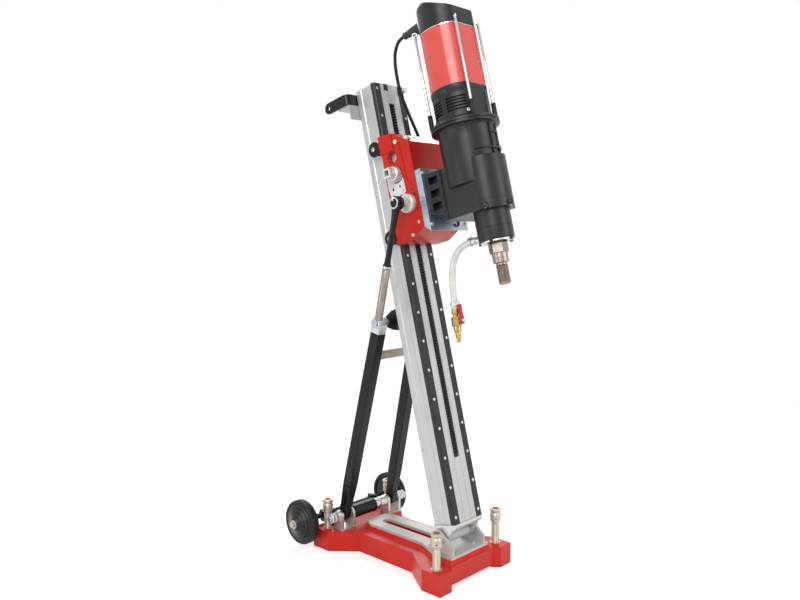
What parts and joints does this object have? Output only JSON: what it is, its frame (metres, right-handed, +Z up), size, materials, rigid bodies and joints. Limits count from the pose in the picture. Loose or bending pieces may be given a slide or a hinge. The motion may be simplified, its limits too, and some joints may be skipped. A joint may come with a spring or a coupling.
{
  "type": "core drill rig",
  "caption": "Wet core drill rig: heavy cast base on transport wheels, tilting rack column with braces, hand-cranked roller carriage and an electric drill motor with a threaded spindle.",
  "frame": {"origin": "on the base's underside, straight below the column's hinge pin, in the middle of the base's width", "axes": "+Z up, -Y towards the drilled hole and the motor, +Y towards the wheels, X along the hinge pin"},
  "size_m": [0.448, 0.6622, 1.502],
  "materials": {
    "red_paint": "glossy red enamel",
    "deck_grey": "zinc plated plate",
    "zinc": "galvanised, slightly blue",
    "nickel": "nickel plated, satin",
    "steel": "machined steel",
    "black_paint": "black enamel",
    "rail_black": "black oxide",
    "anodised": "clear anodised extrusion",
    "rubber": "matt black",
    "motor_plastic": "charcoal grey, fine grain",
    "sleeve_red": "coral red, glossy",
    "copper": "laminated steel with copper winding",
    "brass": "machined brass",
    "hose_clear": "translucent white hose",
    "valve_red": "red moulding",
    "level_green": "yellow green vial"
  },
  "bodies": {
    "base": {"base_plate": "red_paint", "base_deck": "deck_grey", "column_hinge_pin": "steel", "rear_clevis_left": "deck_grey", "rear_clevis_right": "deck_grey", "rear_cross_tube": "black_paint", "brace_pivot_rod": "zinc", "wheel_axle": "black_paint"},
    "column": {"column_profile": "anodised", "column_foot": "deck_grey", "guide_rail_left": "rail_black", "guide_rail_right": "rail_black", "gear_rack": "rail_black", "handle_bracket": "deck_grey", "top_handle": "black_paint"},
    "brace_bracket": {"brace_bracket": "black_paint"},
    "brace": {"brace_tube_left": "black_paint", "brace_tube_right": "black_paint", "brace_head_left": "zinc", "brace_head_right": "zinc", "brace_cross_plate": "zinc"},
    "carriage": {"carriage": "red_paint", "spirit_level": "level_green", "spacer_plate": "zinc", "gearbox_housing": "motor_plastic", "spindle_housing": "motor_plastic", "stator": "steel", "motor_lower_housing": "motor_plastic", "motor_sleeve": "sleeve_red", "motor_cap": "motor_plastic", "guard_cage": "zinc", "cord_gland": "rubber", "power_cord": "rubber", "cord_coil": "rubber", "mains_plug": "rubber", "water_inlet": "zinc", "water_hose": "hose_clear", "valve_body": "brass"},
    "pinion": {"pinion_shaft": "steel"},
    "idler": {"idler_gear": "steel"},
    "reduction": {"reduction_shaft": "steel"},
    "crank": {"ratchet_head": "black_paint", "crank_tube": "steel"},
    "wheel_left": {"wheel_hub_left": "motor_plastic", "tyre_left": "rubber"},
    "wheel_right": {"wheel_hub_right": "motor_plastic", "tyre_right": "rubber"},
    "spindle": {"spindle": "nickel"},
    "counter": {"counter_shaft": "steel"},
    "armature": {"armature": "copper"},
    "selector": {"gear_selector": "zinc"},
    "valve_lever": {"valve_lever": "valve_red"},
    "screw_front_left": {"levelling_screw_front_left": "nickel"},
    "screw_front_right": {"levelling_screw_front_right": "nickel"},
    "screw_rear_left": {"levelling_screw_rear_left": "nickel"},
    "screw_rear_right": {"levelling_screw_rear_right": "nickel"},
    "roller_lower_left": {"guide_roller_lower_left": "black_paint"},
    "roller_lower_right": {"guide_roller_lower_right": "black_paint"},
    "roller_upper_left": {"guide_roller_upper_left": "black_paint"},
    "roller_upper_right": {"guide_roller_upper_right": "black_paint"}
  },
  "joints": [
    {"name": "column_tilt", "type": "hinge", "parent": "base", "child": "column", "pos_m": [0, 0, 0.108], "axis": [1, 0, 0], "range_deg": [-30.7, 14.27]},
    {"name": "brace_bracket_slide", "type": "slide", "parent": "column", "child": "brace_bracket", "axis": [0, 0.2465, 0.9691], "range_m": [-0.095, 0.2]},
    {"name": "brace_swing", "type": "hinge", "parent": "base", "child": "brace", "pos_m": [0, 0.341, 0.098], "axis": [1, 0, 0], "range_deg": [-38.5, 18]},
    {"name": "carriage_feed", "type": "slide", "parent": "column", "child": "carriage", "axis": [0, 0.2465, 0.9691], "range_m": [-0.48, 0.12]},
    {"name": "pinion_turn", "type": "hinge", "parent": "carriage", "child": "pinion", "pos_m": [0, 0.1516, 1.06795], "axis": [1, 0, 0], "range_deg": [-180, 700]},
    {"name": "idler_turn", "type": "hinge", "parent": "carriage", "child": "idler", "pos_m": [0, 0.12401, 1.01739], "axis": [1, 0, 0], "range_deg": [-1600, 400]},
    {"name": "reduction_turn", "type": "hinge", "parent": "carriage", "child": "reduction", "pos_m": [0, 0.10277, 0.98957], "axis": [1, 0, 0], "range_deg": [-400, 1600]},
    {"name": "crank_turn", "type": "hinge", "parent": "carriage", "child": "crank", "pos_m": [-0.124, 0.10277, 0.98957], "axis": [1, 0, 0], "continuous": true},
    {"name": "roller_lower_left_turn", "type": "hinge", "parent": "carriage", "child": "roller_lower_left", "pos_m": [-0.056, 0.17593, 0.89667], "axis": [1, 0, 0], "range_deg": [-1770, 450]},
    {"name": "roller_lower_right_turn", "type": "hinge", "parent": "carriage", "child": "roller_lower_right", "pos_m": [0.056, 0.17593, 0.89667], "axis": [1, 0, 0], "range_deg": [-1770, 450]},
    {"name": "roller_upper_left_turn", "type": "hinge", "parent": "carriage", "child": "roller_upper_left", "pos_m": [-0.056, 0.23706, 1.13702], "axis": [1, 0, 0], "range_deg": [-1770, 450]},
    {"name": "roller_upper_right_turn", "type": "hinge", "parent": "carriage", "child": "roller_upper_right", "pos_m": [0.056, 0.23706, 1.13702], "axis": [1, 0, 0], "range_deg": [-1770, 450]},
    {"name": "wheel_left_turn", "type": "hinge", "parent": "base", "child": "wheel_left", "pos_m": [-0.169, 0.429, 0.0763], "axis": [1, 0, 0], "continuous": true},
    {"name": "wheel_right_turn", "type": "hinge", "parent": "base", "child": "wheel_right", "pos_m": [0.169, 0.429, 0.0763], "axis": [1, 0, 0], "continuous": true},
    {"name": "screw_front_left_feed", "type": "slide", "parent": "base", "child": "screw_front_left", "axis": [0, 0, 1], "range_m": [-0.005, 0.025]},
    {"name": "screw_front_right_feed", "type": "slide", "parent": "base", "child": "screw_front_right", "axis": [0, 0, 1], "range_m": [-0.005, 0.025]},
    {"name": "screw_rear_left_feed", "type": "slide", "parent": "base", "child": "screw_rear_left", "axis": [0, 0, 1], "range_m": [-0.005, 0.025]},
    {"name": "screw_rear_right_feed", "type": "slide", "parent": "base", "child": "screw_rear_right", "axis": [0, 0, 1], "range_m": [-0.005, 0.025]},
    {"name": "spindle_turn", "type": "hinge", "parent": "carriage", "child": "spindle", "pos_m": [0, -0.15248, 0.78724], "axis": [0, 0.2465, 0.9691], "continuous": true},
    {"name": "counter_turn", "type": "hinge", "parent": "carriage", "child": "counter", "pos_m": [0.03519, -0.06864, 1.02388], "axis": [0, 0.2465, 0.9691], "continuous": true},
    {"name": "armature_turn", "type": "hinge", "parent": "carriage", "child": "armature", "pos_m": [0, -0.0507, 1.06368], "axis": [0, 0.2465, 0.9691], "continuous": true},
    {"name": "selector_turn", "type": "hinge", "parent": "carriage", "child": "selector", "pos_m": [0.0603, -0.08935, 0.98271], "axis": [1, 0, 0], "range_deg": [-90, 90]},
    {"name": "valve_turn", "type": "hinge", "parent": "carriage", "child": "valve_lever", "pos_m": [0, -0.01289, 0.68428], "axis": [0, -0.9691, 0.2465], "range_deg": [-90, 0]}
  ],
  "couplings": [
    {"joint": "brace_bracket_slide", "follows": "column_tilt", "m_per_rad": -0.361},
    {"joint": "brace_swing", "follows": "column_tilt", "ratio": 1.23},
    {"joint": "pinion_turn", "follows": "carriage_feed", "rad_per_m": -25},
    {"joint": "idler_turn", "follows": "carriage_feed", "rad_per_m": 57.143},
    {"joint": "reduction_turn", "follows": "carriage_feed", "rad_per_m": -57.143},
    {"joint": "counter_turn", "follows": "spindle_turn", "ratio": -2},
    {"joint": "armature_turn", "follows": "spindle_turn", "ratio": 5.2},
    {"joint": "roller_lower_left_turn", "follows": "carriage_feed", "rad_per_m": 63.694},
    {"joint": "roller_lower_right_turn", "follows": "carriage_feed", "rad_per_m": 63.694},
    {"joint": "roller_upper_left_turn", "follows": "carriage_feed", "rad_per_m": 63.694},
    {"joint": "roller_upper_right_turn", "follows": "carriage_feed", "rad_per_m": 63.694}
  ]
}
